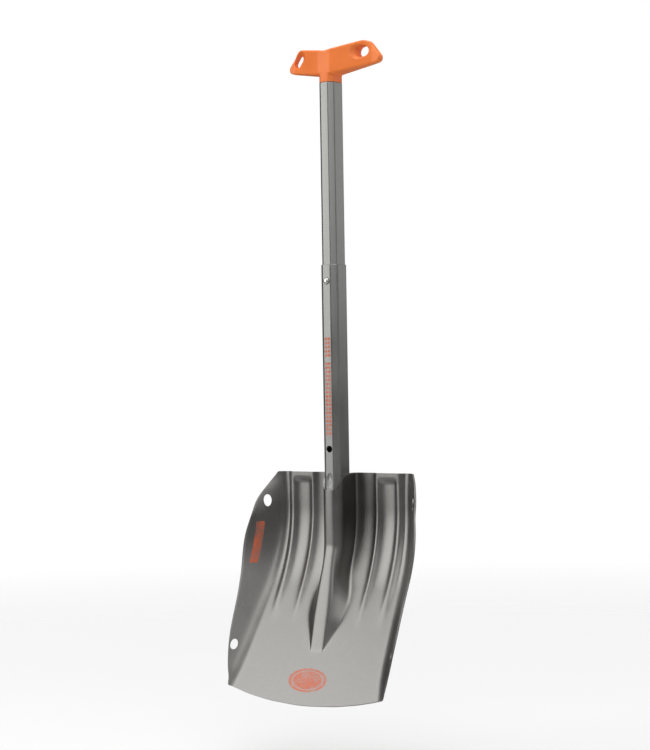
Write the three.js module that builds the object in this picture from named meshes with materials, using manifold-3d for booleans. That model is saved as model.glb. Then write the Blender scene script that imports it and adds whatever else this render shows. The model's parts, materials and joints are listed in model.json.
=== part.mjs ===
// Collapsible avalanche shovel: a stamped blade, a two-piece telescoping shaft and a moulded T-grip.
// Millimetres. +Z runs up the shaft, -Y is the hollow front of the blade and +X is to the right of
// somebody who looks into that hollow. The origin is the middle of the grip, on the shaft's axis.
import * as THREE from 'three';
import { mergeVertices } from 'three/addons/utils/BufferGeometryUtils.js';
import Module from 'manifold-3d';

const wasm = await Module();
wasm.setup();

// Fits
const GAP = 0.3;                 // between pieces that touch
const SLIDE_GAP = 0.15;          // between the two tubes

// Shaft section: a rectangle with cut corners, longer from front to back
const SHAFT_WIDTH = 25.5;
const SHAFT_DEPTH = 32.5;
const SHAFT_CUT = 6.6;           // leg of each cut corner
const SHAFT_CORNER_R = 4;
const TUBE_WALL = 1.2;
const INNER_INSET = TUBE_WALL + SLIDE_GAP;

// Heights along the shaft
const NECK_Z = -22.5;            // lower end of the grip's neck
const SPIGOT_LENGTH = 34;        // of the grip, inside the inner tube
const GRIP_RIVET_Z = -33;
const OUTER_TOP_Z = -254;
const INNER_END_Z = -319;
const UPPER_BUTTON_Z = -275;
const TRAVEL = 213;              // from extended to collapsed
const COLLAPSED_HOLE_Z = UPPER_BUTTON_Z - TRAVEL;
const BLADE_TOP_Z = -519;
const LOWER_BUTTON_Z = -566;
const OUTER_END_Z = -600;

// Snap buttons and their leaf springs
const BUTTON_R = 3.9;
const BUTTON_HOLE_R = BUTTON_R + GAP;
const BUTTON_PROUD = 2.4;
const BUTTON_DOME = 1.5;
const BUTTON_FLANGE_R = 5.2;
const BUTTON_FLANGE = 1.2;
const LEAF_WIDTH = 9;
const LEAF_THICKNESS = 0.8;
const LEAF_ARM = 24;             // from the button down to the bend
const LEAF_BEND_R = 3;
const LEAF_TIP = 5;              // of the arm, above the button

// Grip: the corners of both wings as (X, Z) and how far each is rounded; the left wing droops more
const WING_CORNERS = [[0, 17.3], [54, 28.2], [77, -0.5], [12, -12.8], [-12, -13.3], [-74.5, -2.5],
  [-51, 25.4]];
const WING_RADII = [14, 12, 6, 6, 6, 6, 12];
const WING_EDGE_R = 4.5;
const WING_ROOT_X = 9;           // from here the wings get thinner and lean back, as far as WING_END_X
const WING_END_X = 60;
const WING_HALF_DEPTH = [13, 5];
const WING_BACK_Y = [11, 14.5];
const STRAP_SLOT = { x: -52.5, z: 10.5, width: 10, length: 17.5, turn: -0.63 };
const HANG_HOLE = { x: 48, z: 13, width: 14, length: 17, turn: -1.37 };

// Blade: its floor runs straight down, bends forward on an arc and ends in a straight lip
const SHEET = 2;
const FLOOR_Y = 19;              // front face of the floor at the top
const STRAIGHT = 45;
const BEND_R = 200;
const LIFT = THREE.MathUtils.degToRad(30);
const FLOOR_LENGTH = 308.5;      // along the middle, from the top edge to the cutting edge
const EDGE_SAG = 15.6;           // of the cutting edge, from its middle to the corners
const TOP_HALF_WIDTH = 96.5;
const END_HALF_WIDTH = 115;
const FLANGE_BEND_R = [13, 22];  // at the top and at the cutting edge
const FLANGE_WIDTH = [[0, 10], [45, 42], [95, 50.5], [180, 36], [230, 27], [268, 15], [292, 3.5]];
const FLANGE_LEAN = [[0, 60], [25, 46], [60, 39], [150, 39.5], [235, 42], [268, 47], [292, 62]];
const CORNER_CUT = 5;            // how far the sheet's corner is rounded back from the edge
const ROPE_HOLES = [{ s: 38, across: 24, half: [5, 7.4] }, { s: 241, across: 17, half: [4.5, 6.6] }];

// Raised ribs: on each side a band with a pocket pressed back in its middle
const RIB_HEIGHT = 3.6;
const RIB_RAMP = 3.6;
const BAND = [44.4, 89.5];
const POCKET = [52.7, 79.6];
const POCKET_TOP = 6.5;
const POCKET_RAMP = 6;
const BAND_FADE = [118, 205];

// Hollow ridge that holds the shaft and runs out into a blunt spearhead
const RIDGE_FRONT_Y = -(SHAFT_DEPTH / 2 + GAP + SHEET);
const RIDGE_SIDE_X = SHAFT_WIDTH / 2 + GAP + SHEET;
const RIDGE_FOOT_X = 18;
const RIDGE_STRAIGHT = 92;       // below this the crest leans forward to meet the floor
const RIDGE_END = 236;           // where the crest meets the floor, along the floor
const RIDGE_OPENS = [98, 150];   // where the channel's section turns into a low trapezoid
const CREST_HALF_WIDTH = [[92, 7.1], [140, 9], [176, 10], [236, 8.5]];
const FOOT_HALF_WIDTH = [[112, 18], [138, 21], [172, 28.5], [188, 27.5], [216, 17.5], [236, 9.5]];
const MOUTH_CUT = 21;            // how far the front of the ridge is cut back at its mouth
const MOUTH_DEPTH = 0.65;        // share of the ridge's height that the mouth leaves alone

// Rear plate that closes the ridge behind the shaft
const PLATE_THICKNESS = 2;
const PLATE_HALF_WIDTH = 34;
const PLATE_PRESSED_X = 11;
const PLATE_STEP_X = 16.5;
const PLATE_START = 3;
const PLATE_END = 88;

const GRIP_RIVET_R = 2;

// --- Small helpers -------------------------------------------------------------------------------

const clamp01 = (x) => Math.min(1, Math.max(0, x));
const ramp = (x, from, to) => clamp01((x - from) / (to - from));
const smooth = (x, from, to) => THREE.MathUtils.smoothstep(x, from, to);
const mix = THREE.MathUtils.lerp;

// Smooth curve through a few (x, value) points: a cubic with a flat tangent at every turning point
function curveThrough(points) {
  const slope = (a, b) => (b[1] - a[1]) / (b[0] - a[0]);
  const tangents = points.map((point, i) => {
    if (i === 0) return slope(point, points[1]);
    if (i === points.length - 1) return slope(points[i - 1], point);
    const [left, right] = [slope(points[i - 1], point), slope(point, points[i + 1])];
    return left * right <= 0 ? 0 : 2 * left * right / (left + right);
  });
  return (x) => {
    const last = points.length - 1;
    if (x <= points[0][0]) return points[0][1];
    if (x >= points[last][0]) return points[last][1];
    const i = points.findIndex((point) => point[0] > x) - 1;
    const [[x0, y0], [x1, y1]] = [points[i], points[i + 1]];
    const h = x1 - x0;
    const t = (x - x0) / h;
    const bend = t * (1 - t) * h * (tangents[i] * (1 - t) - tangents[i + 1] * t);
    return mix(y0, y1, t * t * (3 - 2 * t)) + bend;
  };
}

// Polygon with every corner rounded to its own radius
function roundCorners(corners, radii, steps) {
  const points = [];
  corners.forEach((corner, i) => {
    const before = corners[(i + corners.length - 1) % corners.length];
    const after = corners[(i + 1) % corners.length];
    const back = before.clone().sub(corner).normalize();
    const ahead = after.clone().sub(corner).normalize();
    const half = Math.acos(back.dot(ahead)) / 2;
    const reach = radii[i] / Math.tan(half);
    const centre = corner.clone().addScaledVector(
      back.clone().add(ahead).normalize(), radii[i] / Math.sin(half));
    const start = corner.clone().addScaledVector(back, reach).sub(centre);
    const end = corner.clone().addScaledVector(ahead, reach).sub(centre);
    const turn = Math.atan2(start.cross(end), start.dot(end));
    for (let k = 0; k <= steps; k += 1) {
      points.push(start.clone().rotateAround(new THREE.Vector2(), turn * k / steps).add(centre));
    }
  });
  return points;
}

// Outline of the shaft's section, moved inwards by inset
function shaftSection(inset, steps = 3) {
  const x = SHAFT_WIDTH / 2 - inset;
  const y = SHAFT_DEPTH / 2 - inset;
  const cut = SHAFT_CUT - inset * (2 - Math.SQRT2);
  const corners = [[x, cut - y], [x, y - cut], [x - cut, y], [cut - x, y],
    [-x, y - cut], [-x, cut - y], [cut - x, -y], [x - cut, -y]].map((p) => new THREE.Vector2(...p));
  return roundCorners(corners, corners.map(() => Math.max(SHAFT_CORNER_R - inset, 0.6)), steps);
}

// Straight solid on an outline in XY, from one height to another, with an optional hollow
function prism(outline, low, high, hollow = null) {
  const shape = new THREE.Shape(outline);
  if (hollow) shape.holes.push(new THREE.Path(hollow));
  const geometry = new THREE.ExtrudeGeometry(shape, { depth: high - low, bevelEnabled: false });
  return geometry.translate(0, 0, low);
}

// Turns a solid drawn as (right, up, thickness) into one drawn as (X, Z, -Y)
function standUp(geometry) {
  return geometry.rotateX(Math.PI / 2);
}

function toSolid(geometry) {
  const bare = geometry.clone();
  bare.deleteAttribute('normal');
  bare.deleteAttribute('uv');
  const merged = mergeVertices(bare, 1e-4);
  const index = merged.index.array;
  const triangles = [];
  for (let i = 0; i < index.length; i += 3) {
    const [a, b, c] = [index[i], index[i + 1], index[i + 2]];
    if (a !== b && b !== c && c !== a) triangles.push(a, b, c);
  }
  return new wasm.Manifold(new wasm.Mesh({
    numProp: 3,
    vertProperties: Float32Array.from(merged.attributes.position.array),
    triVerts: Uint32Array.from(triangles),
  }));
}

function toGeometry(solid) {
  const { vertProperties, triVerts } = solid.getMesh();
  const geometry = new THREE.BufferGeometry();
  geometry.setAttribute('position', new THREE.BufferAttribute(vertProperties, 3));
  geometry.setIndex(new THREE.BufferAttribute(triVerts, 1));
  return geometry;
}

// Round bar along Y, for drilling from front to back
function drill(radius, yLow, yHigh, z) {
  const bar = new THREE.CylinderGeometry(radius, radius, yHigh - yLow, 20);
  return toSolid(bar.translate(0, (yLow + yHigh) / 2, z));
}

// Closed sheet: a front face of rows and columns, and a back face behind it
function sheetSolid(front, behind) {
  const rows = front.length;
  const columns = front[0].length;
  const back = front.map((row, i) => row.map((point, j) => behind(point, normalAt(front, i, j))));
  const vertices = [...front, ...back].flatMap((row) => row.flatMap((point) => point.toArray()));
  const at = (side, i, j) => side * rows * columns + i * columns + j;
  const triangles = [];
  const quad = (a, b, c, d) => triangles.push(a, b, c, a, c, d);
  for (let i = 0; i < rows - 1; i += 1) {
    for (let j = 0; j < columns - 1; j += 1) {
      quad(at(0, i, j), at(0, i + 1, j), at(0, i + 1, j + 1), at(0, i, j + 1));
      quad(at(1, i, j), at(1, i, j + 1), at(1, i + 1, j + 1), at(1, i + 1, j));
    }
    quad(at(0, i, 0), at(1, i, 0), at(1, i + 1, 0), at(0, i + 1, 0));
    quad(at(0, i, columns - 1), at(0, i + 1, columns - 1), at(1, i + 1, columns - 1),
      at(1, i, columns - 1));
  }
  for (let j = 0; j < columns - 1; j += 1) {
    quad(at(0, 0, j), at(0, 0, j + 1), at(1, 0, j + 1), at(1, 0, j));
    quad(at(0, rows - 1, j), at(1, rows - 1, j), at(1, rows - 1, j + 1), at(0, rows - 1, j + 1));
  }
  const geometry = new THREE.BufferGeometry();
  geometry.setAttribute('position', new THREE.Float32BufferAttribute(vertices, 3));
  geometry.setIndex(triangles);
  return toSolid(geometry);
}

// Front normal of a grid of points whose rows run down and whose columns run to +X
function normalAt(grid, i, j) {
  const above = grid[Math.max(i - 1, 0)][j];
  const below = grid[Math.min(i + 1, grid.length - 1)][j];
  const left = grid[i][Math.max(j - 1, 0)];
  const right = grid[i][Math.min(j + 1, grid[0].length - 1)];
  const down = below.clone().sub(above);
  return down.cross(right.clone().sub(left)).normalize();
}

// --- Blade ---------------------------------------------------------------------------------------

// The floor's middle line at a distance s down from the top edge: its point and its lean
function floorAt(s) {
  const lean = clamp01((s - STRAIGHT) / (BEND_R * LIFT)) * LIFT;
  const lip = Math.max(0, s - STRAIGHT - BEND_R * LIFT);
  return {
    y: FLOOR_Y - BEND_R * (1 - Math.cos(lean)) - lip * Math.sin(lean),
    z: BLADE_TOP_Z - Math.min(s, STRAIGHT) - BEND_R * Math.sin(lean) - lip * Math.cos(lean),
    lean,
  };
}

// Point at s down the floor, x to the side and rise in front of the floor
function bladePoint(s, x, rise) {
  const { y, z, lean } = floorAt(s);
  return new THREE.Vector3(x, y - rise * Math.cos(lean), z + rise * Math.sin(lean));
}

const halfWidthAt = (s) => mix(TOP_HALF_WIDTH, END_HALF_WIDTH, (s / FLOOR_LENGTH) ** 1.5);
const flangeWidthAt = curveThrough(FLANGE_WIDTH);
const flangeLeanAt = curveThrough(FLANGE_LEAN);
const flangeBendAt = (s) => mix(...FLANGE_BEND_R, clamp01(s / FLOOR_LENGTH));

// Height of the ribs above the floor
function ribRise(x, s) {
  const side = Math.abs(x);
  const band = ramp(side, BAND[0], BAND[0] + RIB_RAMP) * ramp(side, BAND[1], BAND[1] - RIB_RAMP);
  const pocket = ramp(side, POCKET[0], POCKET[0] + RIB_RAMP)
    * ramp(side, POCKET[1], POCKET[1] - RIB_RAMP)
    * ramp(s, POCKET_TOP, POCKET_TOP + POCKET_RAMP);
  return RIB_HEIGHT * band * (1 - pocket) * (1 - smooth(s, ...BAND_FADE));
}

// Height of the ridge's crest above the floor
function crestRise(s) {
  const { y, z, lean } = floorAt(s);
  const straightRise = (y - RIDGE_FRONT_Y) / Math.cos(lean);
  const kneeZ = BLADE_TOP_Z - RIDGE_STRAIGHT;
  if (z + straightRise * Math.sin(lean) >= kneeZ) return straightRise;
  const end = floorAt(RIDGE_END);
  const fall = (RIDGE_FRONT_Y - end.y) / (kneeZ - end.z);
  const rise = (y - RIDGE_FRONT_Y + fall * (kneeZ - z)) / (Math.cos(lean) + fall * Math.sin(lean));
  return Math.max(0, rise);
}

// Half of the ridge's section, from the crest to the foot, as (x, height below the crest or share)
const RIDGE_SIDE = [
  { x: 0, below: 0 },
  { x: SHAFT_WIDTH / 2 - SHAFT_CUT + (GAP + SHEET) * (Math.SQRT2 - 1), below: 0 },
  { x: (RIDGE_SIDE_X + 7.1) / 2, below: 4 },
  { x: RIDGE_SIDE_X, below: 8 },
  { x: RIDGE_SIDE_X + 0.3, share: 0.5 },
  { x: RIDGE_SIDE_X + 0.8, share: 0.16 },
  { x: RIDGE_SIDE_X + 1.6, share: 0.05 },
  { x: RIDGE_FOOT_X, share: 0 },
];

const crestHalfWidthAt = curveThrough(CREST_HALF_WIDTH);
const footHalfWidthAt = curveThrough(FOOT_HALF_WIDTH);

function ridgePoint(s, column) {
  const side = RIDGE_SIDE[column];
  const crest = crestRise(s);
  const open = smooth(s, ...RIDGE_OPENS);
  const down = Math.max(0, column - 1) / (RIDGE_SIDE.length - 2);
  const openX = column === 0 ? 0 : mix(crestHalfWidthAt(s), footHalfWidthAt(s), down);
  const channel = side.share === undefined ? crest - side.below : crest * side.share;
  return [mix(side.x, openX, open), mix(channel, crest * (1 - down), open)];
}

// Half of the blade's section at s, from the crest out to the flange's rim
function bladeSection(s) {
  const section = RIDGE_SIDE.map((side, column) => ridgePoint(s, column));
  const corner = halfWidthAt(s);
  const turn = THREE.MathUtils.degToRad(90 - flangeLeanAt(s));
  const bend = flangeBendAt(s);
  const reach = bend * Math.tan(turn / 2);
  const edges = [BAND[0], BAND[0] + RIB_RAMP, POCKET[0], POCKET[0] + RIB_RAMP,
    POCKET[1] - RIB_RAMP, POCKET[1], BAND[1] - RIB_RAMP, BAND[1]];
  const squeeze = Math.min(1, (corner - reach - 0.6) / BAND[1]);
  edges.forEach((x) => section.push([x * squeeze, ribRise(x, s)]));
  for (let k = 0; k <= 4; k += 1) {
    const angle = turn * k / 4;
    section.push([corner - reach + bend * Math.sin(angle), bend * (1 - Math.cos(angle))]);
  }
  const width = Math.max(flangeWidthAt(s), reach + 1);
  for (let k = 1; k <= 3; k += 1) {
    const across = mix(reach, width, k / 3);
    section.push([corner + across * Math.cos(turn), across * Math.sin(turn)]);
  }
  return section;
}

const SECTION_COLUMNS = bladeSection(0).length;

// Where a column of the blade's grid starts and ends along the floor
function columnSpan(column) {
  const isRidge = column < RIDGE_SIDE.length;
  const height = isRidge ? bladeSection(0)[column][1] / crestRise(0) : 0;
  const start = MOUTH_CUT * smooth(height, MOUTH_DEPTH, 1);
  const side = bladeSection(FLOOR_LENGTH)[column][0] / END_HALF_WIDTH;
  const rimColumns = 4;
  const pastBend = Math.max(0, column - (SECTION_COLUMNS - 1 - rimColumns)) / rimColumns;
  const end = FLOOR_LENGTH - EDGE_SAG * Math.min(side, 1) ** 2 - CORNER_CUT * pastBend ** 2;
  return [start, end];
}

// Rows are closer together where the shape changes fast
const ROW_STEPS = [0, 6.5, 9.5, 12.5, 22, 33, 45, 58, 71, 84, 92, 98, 107, 118, 130, 142, 154, 166, 178,
  190, 202, 212, 222, 230, 236, 246, 258, 270, 282, 294, 302, 308.5];

function bladeFront() {
  const spans = Array.from({ length: SECTION_COLUMNS }, (_, column) => columnSpan(column));
  return ROW_STEPS.map((step) => {
    const points = spans.map(([start, end], column) => {
      const s = mix(start, end, step / FLOOR_LENGTH);
      const [x, rise] = bladeSection(s)[column];
      return bladePoint(s, x, rise);
    });
    const mirrored = points.slice(1).reverse().map((p) => new THREE.Vector3(-p.x, p.y, p.z));
    return [...mirrored, ...points];
  });
}

// Place and direction of a rope hole through the right flange
function ropeHoleCutter({ s, across, half }) {
  const turn = THREE.MathUtils.degToRad(90 - flangeLeanAt(s));
  const corner = halfWidthAt(s);
  const centre = bladePoint(s, corner + across * Math.cos(turn), across * Math.sin(turn));
  const { lean } = floorAt(s);
  const along = new THREE.Vector3(0, -Math.sin(lean), -Math.cos(lean));
  const outward = new THREE.Vector3(Math.cos(turn), -Math.sin(turn) * Math.cos(lean),
    Math.sin(turn) * Math.sin(lean));
  const through = along.clone().cross(outward).normalize();
  const bar = new THREE.CylinderGeometry(1, 1, 14, 20).scale(half[0], 1, half[1]);
  bar.applyMatrix4(new THREE.Matrix4().makeBasis(outward, through, outward.clone().cross(through)));
  return bar.translate(centre.x, centre.y, centre.z);
}

function bladeGeometry() {
  let solid = sheetSolid(bladeFront(), (point, normal) => point.clone().addScaledVector(normal, -SHEET));
  ROPE_HOLES.forEach((hole) => {
    const right = toSolid(ropeHoleCutter(hole));
    solid = solid.subtract(right).subtract(right.mirror([1, 0, 0]));
  });
  return toGeometry(solid);
}

// The plate lies on the back of the floor and is pressed forward behind the shaft
function rearPlateGeometry() {
  const wing = -(SHEET + GAP);
  const pressedY = SHAFT_DEPTH / 2 + GAP;
  const sides = [-1, 1].map((sign) => [PLATE_HALF_WIDTH, PLATE_STEP_X + 4, PLATE_STEP_X,
    PLATE_PRESSED_X, PLATE_PRESSED_X / 2].map((x) => sign * x));
  const columns = [...sides[0], 0, ...sides[1].reverse()];
  const rows = 13;
  const front = Array.from({ length: rows }, (_, i) => columns.map((x) => {
    const s = mix(PLATE_START, PLATE_END, i / (rows - 1));
    const { y } = floorAt(s);
    const wingPoint = bladePoint(s, x, wing);
    const pressed = ramp(Math.abs(x), PLATE_STEP_X, PLATE_PRESSED_X);
    wingPoint.y = mix(wingPoint.y, Math.min(pressedY, y + SHEET + GAP), pressed);
    return wingPoint;
  }));
  const plate = sheetSolid(front, (point) => point.clone().add(new THREE.Vector3(0, PLATE_THICKNESS, 0)));
  return toGeometry(plate.subtract(drill(BUTTON_HOLE_R, 10, 30, LOWER_BUTTON_Z)));
}

// --- Shaft ---------------------------------------------------------------------------------------

function tubeGeometry(inset, low, high, holes) {
  let tube = toSolid(prism(shaftSection(inset), low, high, shaftSection(inset + TUBE_WALL)));
  holes.forEach(({ z, side, radius }) => {
    const reach = [2, SHAFT_DEPTH].map((y) => y * side).sort((a, b) => a - b);
    tube = tube.subtract(drill(radius, ...reach, z));
  });
  return toGeometry(tube);
}

const outerTubeGeometry = () => tubeGeometry(0, OUTER_END_Z, OUTER_TOP_Z, [
  { z: UPPER_BUTTON_Z, side: -1, radius: BUTTON_HOLE_R },
  { z: COLLAPSED_HOLE_Z, side: -1, radius: BUTTON_HOLE_R },
  { z: LOWER_BUTTON_Z, side: 1, radius: BUTTON_HOLE_R },
]);

const innerTubeGeometry = () => tubeGeometry(INNER_INSET, INNER_END_Z, NECK_Z - GAP, [
  { z: UPPER_BUTTON_Z, side: -1, radius: BUTTON_HOLE_R },
  { z: GRIP_RIVET_Z, side: 1, radius: GRIP_RIVET_R + GAP },
]);

// Moulded plug that closes a tube's lower end: a cap below the tube and a spigot inside it
function endPlugGeometry(tubeInset, tubeEnd, capInset) {
  const cap = prism(shaftSection(capInset), tubeEnd - GAP - 2, tubeEnd - GAP);
  const spigot = prism(shaftSection(tubeInset + TUBE_WALL + GAP / 2), tubeEnd - 1, tubeEnd + 5);
  const hollow = prism(shaftSection(tubeInset + TUBE_WALL + 2), tubeEnd + 0.5, tubeEnd + 6);
  return toGeometry(toSolid(cap).add(toSolid(spigot)).subtract(toSolid(hollow)));
}

// Snap button along Y: a flange inside the tube, a shank through the wall and a domed end.
// The bore's half depth and the outermost face that the shank passes are given along Y.
function buttonGeometry(side, boreHalfDepth, outerFace, z) {
  const base = boreHalfDepth - GAP - BUTTON_FLANGE;
  const tip = outerFace + BUTTON_PROUD;
  const profile = [[0, base], [BUTTON_FLANGE_R, base], [BUTTON_FLANGE_R, base + BUTTON_FLANGE],
    [BUTTON_R, base + BUTTON_FLANGE], [BUTTON_R, tip - BUTTON_DOME]];
  for (let k = 1; k <= 4; k += 1) {
    const angle = Math.PI / 2 * k / 4;
    profile.push([k === 4 ? 0 : BUTTON_R * Math.cos(angle), tip - BUTTON_DOME * (1 - Math.sin(angle))]);
  }
  const lathe = new THREE.LatheGeometry(profile.map((p) => new THREE.Vector2(...p)), 20);
  if (side < 0) lathe.rotateX(Math.PI);
  return toGeometry(toSolid(lathe.translate(0, 0, z)));
}

// V-shaped leaf spring: one arm behind the button, a bend below it and one arm on the far wall
function leafSpringGeometry(side, boreHalfDepth, z) {
  const near = boreHalfDepth - BUTTON_FLANGE - 2 * GAP - LEAF_THICKNESS / 2;
  const far = boreHalfDepth - GAP - LEAF_THICKNESS / 2;
  const line = [new THREE.Vector2(near, LEAF_TIP), new THREE.Vector2(near, -6)];
  for (let k = 0; k <= 6; k += 1) {
    const angle = -Math.PI * k / 6;
    line.push(new THREE.Vector2(LEAF_BEND_R * Math.cos(angle), LEAF_BEND_R * Math.sin(angle) - LEAF_ARM));
  }
  line.push(new THREE.Vector2(-far, -4), new THREE.Vector2(-far, LEAF_TIP));
  const offset = (distance) => line.map((point, i) => {
    const ahead = line[Math.min(i + 1, line.length - 1)].clone().sub(line[Math.max(i - 1, 0)]);
    return point.clone().add(new THREE.Vector2(ahead.y, -ahead.x).normalize().multiplyScalar(distance));
  });
  const outline = [...offset(LEAF_THICKNESS / 2), ...offset(-LEAF_THICKNESS / 2).reverse()];
  const strip = new THREE.ExtrudeGeometry(new THREE.Shape(outline),
    { depth: LEAF_WIDTH, bevelEnabled: false });
  strip.translate(0, 0, -LEAF_WIDTH / 2);
  strip.applyMatrix4(new THREE.Matrix4().makeBasis(
    new THREE.Vector3(0, 1, 0), new THREE.Vector3(0, 0, 1), new THREE.Vector3(1, 0, 0)));
  if (side < 0) strip.rotateZ(Math.PI);
  return toGeometry(toSolid(strip.translate(0, 0, z)));
}

// --- Grip ----------------------------------------------------------------------------------------

function wingsOutline() {
  return roundCorners(WING_CORNERS.map(([x, z]) => new THREE.Vector2(x, z)), WING_RADII, 4);
}

// Long round-ended hole, turned in the plane of the wings
function longHole({ x, z, width, length, turn }) {
  const straight = (length - width) / 2;
  const outline = [];
  for (let k = 0; k <= 16; k += 1) {
    const angle = Math.PI * 2 * k / 16;
    if (k === 16) break;
    const lift = Math.sin(angle + 0.001) > 0 ? straight : -straight;
    outline.push(new THREE.Vector2(width / 2 * Math.cos(angle), width / 2 * Math.sin(angle) + lift));
  }
  outline.forEach((point) => point.rotateAround(new THREE.Vector2(), turn).add(new THREE.Vector2(x, z)));
  return toSolid(standUp(prism(outline, -60, 60)));
}

// Half of the wings' depth and the middle of it, at a distance x to the side
function wingDepthAt(x) {
  const out = ramp(Math.abs(x), WING_ROOT_X, WING_END_X);
  const half = mix(...WING_HALF_DEPTH, out);
  return { half, middle: mix(...WING_BACK_Y, out) - half };
}

// Both wings: drawn flat and twice the edge's radius thick, then spread to their depth
function wingsSolid() {
  const flat = new THREE.ExtrudeGeometry(new THREE.Shape(wingsOutline()), {
    depth: WING_EDGE_R,
    bevelThickness: WING_EDGE_R,
    bevelSize: WING_EDGE_R,
    bevelOffset: -WING_EDGE_R,
    bevelSegments: 3,
  });
  flat.translate(0, 0, -WING_EDGE_R / 2);
  return toSolid(standUp(flat)).refineToLength(9).warp((point) => {
    const { half, middle } = wingDepthAt(point[0]);
    point[1] = middle + half * point[1] / (1.5 * WING_EDGE_R);
  });
}

function gripGeometry() {
  const neck = prism(shaftSection(INNER_INSET), NECK_Z, 2);
  const spigotInset = INNER_INSET + TUBE_WALL + GAP / 2;
  const spigot = prism(shaftSection(spigotInset), NECK_Z - SPIGOT_LENGTH, NECK_Z + 1);
  const grip = wingsSolid().add(toSolid(neck)).add(toSolid(spigot))
    .subtract(longHole(STRAP_SLOT)).subtract(longHole(HANG_HOLE))
    .subtract(drill(GRIP_RIVET_R + GAP, 6, SHAFT_DEPTH, GRIP_RIVET_Z));
  return toGeometry(grip);
}

// Rivet along Y: a low domed head on the tube's back and a shank in the spigot
function gripRivetGeometry() {
  const tubeBack = SHAFT_DEPTH / 2 - INNER_INSET;
  const head = tubeBack + GAP;
  const profile = [[0, 7], [GRIP_RIVET_R, 7], [GRIP_RIVET_R, head], [4, head], [4, head + 0.5],
    [2.8, head + 1.3], [0, head + 1.6]];
  const lathe = new THREE.LatheGeometry(profile.map((p) => new THREE.Vector2(...p)), 16);
  return toGeometry(toSolid(lathe.translate(0, 0, GRIP_RIVET_Z)));
}

// --- Assembly ------------------------------------------------------------------------------------

const FINISHES = {
  blade: { color: 0x9d9d98, roughness: 0.38, metalness: 1 },
  tube: { color: 0x83857f, roughness: 0.35, metalness: 1 },
  steel: { color: 0xc8c8c6, roughness: 0.22, metalness: 1 },
  grip: { color: 0xf0713a, roughness: 0.5, metalness: 0 },
  plug: { color: 0x1c1c1c, roughness: 0.6, metalness: 0 },
};

function piece(name, geometry, finish) {
  const mesh = new THREE.Mesh(geometry, new THREE.MeshStandardMaterial(FINISHES[finish]));
  mesh.name = name;
  return mesh;
}

const innerBore = SHAFT_DEPTH / 2 - INNER_INSET - TUBE_WALL;
const outerBore = SHAFT_DEPTH / 2 - TUBE_WALL;
const plateBack = SHAFT_DEPTH / 2 + GAP + PLATE_THICKNESS;

const group = new THREE.Group();
group.add(
  piece('grip', gripGeometry(), 'grip'),
  piece('grip_rivet', gripRivetGeometry(), 'steel'),
  piece('inner_tube', innerTubeGeometry(), 'tube'),
  piece('inner_tube_plug', endPlugGeometry(INNER_INSET, INNER_END_Z, INNER_INSET + GAP), 'plug'),
  piece('upper_snap_button', buttonGeometry(-1, innerBore, SHAFT_DEPTH / 2, UPPER_BUTTON_Z), 'steel'),
  piece('upper_leaf_spring', leafSpringGeometry(-1, innerBore, UPPER_BUTTON_Z), 'steel'),
  piece('outer_tube', outerTubeGeometry(), 'tube'),
  piece('outer_tube_plug', endPlugGeometry(0, OUTER_END_Z, GAP), 'plug'),
  piece('lower_snap_button', buttonGeometry(1, outerBore, plateBack, LOWER_BUTTON_Z), 'steel'),
  piece('lower_leaf_spring', leafSpringGeometry(1, outerBore, LOWER_BUTTON_Z), 'steel'),
  piece('blade', bladeGeometry(), 'blade'),
  piece('rear_socket_plate', rearPlateGeometry(), 'blade'),
);

export default group;
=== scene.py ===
# Looks of the collapsible avalanche shovel. Metres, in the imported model's frame: +Z up the shaft,
# -Y towards the blade's hollow front, origin in the middle of the grip.
import bisect
import json
import math
import bpy
import bmesh
from mathutils import Matrix, Vector


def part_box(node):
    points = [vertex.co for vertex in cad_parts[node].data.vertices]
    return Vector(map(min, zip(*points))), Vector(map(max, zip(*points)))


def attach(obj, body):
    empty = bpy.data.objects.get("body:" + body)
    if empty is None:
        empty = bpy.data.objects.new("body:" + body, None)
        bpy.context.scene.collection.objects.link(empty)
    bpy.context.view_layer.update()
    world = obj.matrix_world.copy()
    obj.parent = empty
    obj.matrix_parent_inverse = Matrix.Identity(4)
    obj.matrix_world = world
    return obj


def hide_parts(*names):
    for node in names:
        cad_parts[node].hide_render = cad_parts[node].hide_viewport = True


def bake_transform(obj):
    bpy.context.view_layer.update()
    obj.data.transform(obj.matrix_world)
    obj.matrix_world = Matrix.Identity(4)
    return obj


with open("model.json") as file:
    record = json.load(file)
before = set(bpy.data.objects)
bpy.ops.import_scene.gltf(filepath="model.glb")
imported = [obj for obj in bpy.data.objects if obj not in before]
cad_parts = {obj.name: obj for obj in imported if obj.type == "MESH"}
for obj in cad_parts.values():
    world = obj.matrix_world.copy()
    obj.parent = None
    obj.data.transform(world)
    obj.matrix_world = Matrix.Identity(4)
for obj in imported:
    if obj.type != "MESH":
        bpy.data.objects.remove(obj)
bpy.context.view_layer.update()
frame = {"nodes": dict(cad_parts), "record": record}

MM = 0.001
GAP = 0.3
WALL = 1.2
SHEET = 2.0

outer_low, outer_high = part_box("outer_tube")
inner_low, inner_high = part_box("inner_tube")
blade_low, blade_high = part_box("blade")
plate_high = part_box("rear_socket_plate")[1]
upper_low, upper_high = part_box("upper_snap_button")
lower_low, lower_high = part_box("lower_snap_button")

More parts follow.
